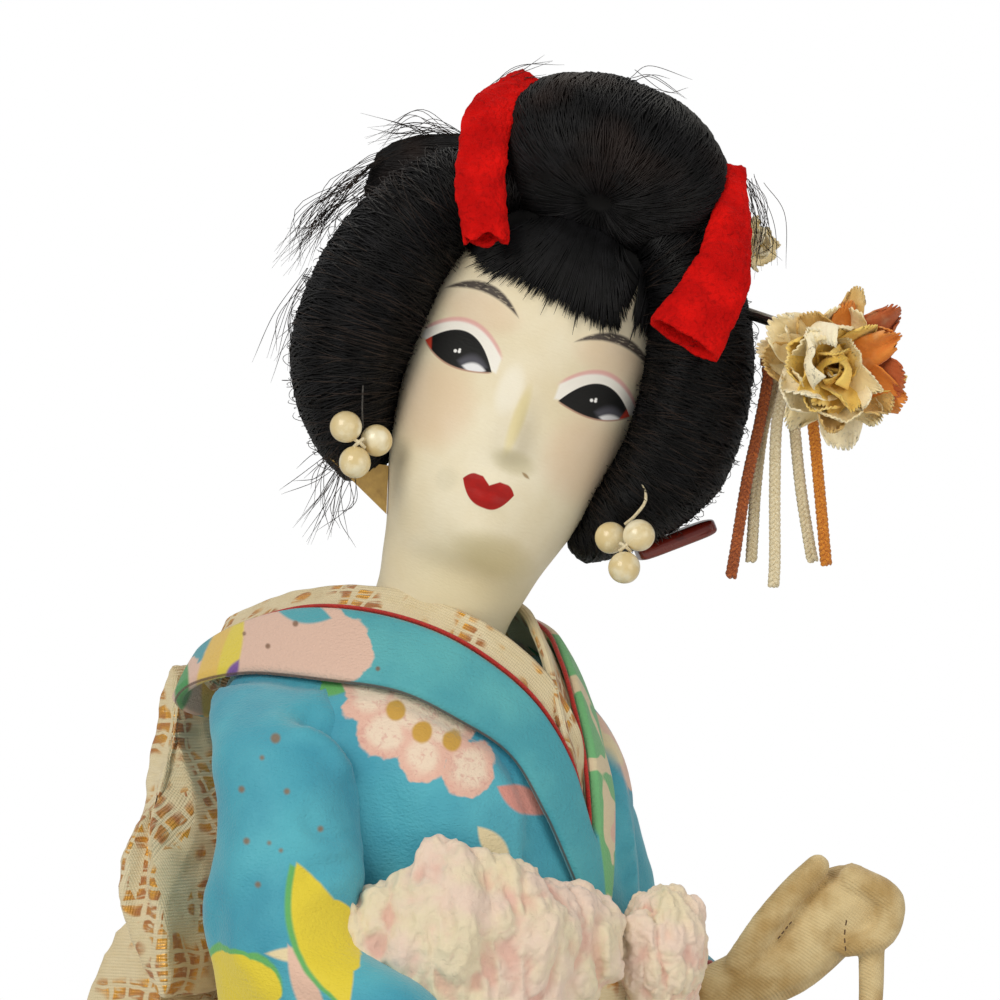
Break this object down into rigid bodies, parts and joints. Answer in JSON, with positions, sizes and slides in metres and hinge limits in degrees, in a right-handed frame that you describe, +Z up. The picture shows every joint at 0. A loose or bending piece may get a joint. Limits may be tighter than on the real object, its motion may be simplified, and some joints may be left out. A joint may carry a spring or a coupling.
{
  "type": "geisha doll",
  "caption": "Standing cloth doll in a kimono on a lacquered board, with a turning silk head, black wig, hair ribbons, flower pin with hanging cords and pearl drops.",
  "frame": {"origin": "middle of the board's underside, where the doll stands", "axes": "+Z up, -Y the way the face looks, +X to the viewer's right"},
  "size_m": [0.18, 0.16, 0.4201],
  "materials": {
    "lacquered_wood": "black gloss lacquer",
    "steel_wire": "plain wire",
    "white_cotton": "plain weave cotton",
    "wood_wool": "stuffed wood wool in muslin",
    "red_silk": "plain silk",
    "kimono_silk": "printed silk crepe",
    "gold_brocade": "woven brocade with metal thread",
    "pink_crepe": "crumpled tie-dyed crepe",
    "knit_skin": "ribbed knit",
    "silk_skin": "painted silk over a moulded head",
    "bare_wood": "turned wood",
    "black_hair": "combed black fibre",
    "red_crepe": "crinkled crepe",
    "gilt_card": "gilt paper",
    "comb_lacquer": "red-brown lacquer",
    "cream_petal": "pinked cloth petals",
    "rust_cord": "braided cord",
    "cream_cord": "braided cord",
    "gold_cord": "braided cord",
    "pearl": "pearl lustre"
  },
  "bodies": {
    "figure": {"base_board": "lacquered_wood", "support_rod": "steel_wire", "right_zori": "lacquered_wood", "left_zori": "lacquered_wood", "right_tabi": "white_cotton", "left_tabi": "white_cotton", "right_leg": "wood_wool", "left_leg": "wood_wool", "skirt_padding": "wood_wool", "body_core": "wood_wool", "under_skirt": "red_silk", "kimono_skirt": "kimono_silk", "kimono_bodice": "kimono_silk", "right_sleeve": "kimono_silk", "left_sleeve": "kimono_silk", "right_cuff": "red_silk", "left_cuff": "red_silk", "kimono_collar": "kimono_silk", "inner_collar": "gold_brocade", "collar_piping": "red_silk", "obi_band": "gold_brocade", "obi_knot": "gold_brocade", "obi_upper_loop": "gold_brocade", "obi_lower_loop": "gold_brocade", "obi_scarf": "pink_crepe", "obi_scarf_puff": "pink_crepe", "right_arm_wire": "steel_wire", "left_arm_wire": "steel_wire"},
    "head": {"silk_head": "silk_skin", "neck_peg": "bare_wood", "front_hair_roll": "black_hair", "right_hair_roll": "black_hair", "left_hair_roll": "black_hair", "back_hair": "black_hair", "top_knot": "black_hair", "fringe": "black_hair", "right_hair_ribbon": "red_crepe", "left_hair_ribbon": "red_crepe", "hair_card": "gilt_card", "hair_comb": "comb_lacquer", "small_blossom": "cream_petal"},
    "flower": {"flower": "cream_petal", "flower_pin": "steel_wire"},
    "tassel": {"tassel_knot": "gold_cord", "rust_cord": "rust_cord", "cream_cord_1": "cream_cord", "cream_cord_2": "cream_cord", "cream_cord_3": "cream_cord", "gold_cord": "gold_cord"},
    "right_drop": {"right_drop_thread": "cream_cord", "right_drop_bead_1": "pearl", "right_drop_bead_2": "pearl", "right_drop_bead_3": "pearl"},
    "left_drop": {"left_drop_thread": "cream_cord", "left_drop_bead_1": "pearl", "left_drop_bead_2": "pearl", "left_drop_bead_3": "pearl"},
    "right_hand": {"right_hand": "knit_skin"},
    "left_hand": {"left_hand": "knit_skin"}
  },
  "joints": [
    {"name": "head_turn", "type": "hinge", "parent": "figure", "child": "head", "pos_m": [0.00045, 0.002, 0.3358], "axis": [0.342, 0, 0.9397], "range_deg": [-20, 70]},
    {"name": "flower_pull", "type": "slide", "parent": "head", "child": "flower", "axis": [0.8058, -0.5145, -0.2933], "range_m": [0, 0.018]},
    {"name": "tassel_swing", "type": "hinge", "parent": "flower", "child": "tassel", "pos_m": [0.05436, -0.00413, 0.3795], "axis": [0, 1, 0], "range_deg": [-16, 2]},
    {"name": "right_drop_swing", "type": "hinge", "parent": "head", "child": "right_drop", "pos_m": [-0.0126, -0.0127, 0.37], "axis": [1, 0, 0], "range_deg": [-25, 0]},
    {"name": "left_drop_swing", "type": "hinge", "parent": "head", "child": "left_drop", "pos_m": [0.0288, -0.0141, 0.356], "axis": [1, 0, 0], "range_deg": [-25, 0]},
    {"name": "right_hand_turn", "type": "hinge", "parent": "figure", "child": "right_hand", "pos_m": [-0.00156, -0.04007, 0.24], "axis": [0.7176, -0.3327, -0.6119], "range_deg": [-20, 20]},
    {"name": "left_hand_turn", "type": "hinge", "parent": "figure", "child": "left_hand", "pos_m": [0.0415, 0.01706, 0.2715], "axis": [0.6125, -0.7211, 0.3239], "range_deg": [-20, 20]}
  ]
}
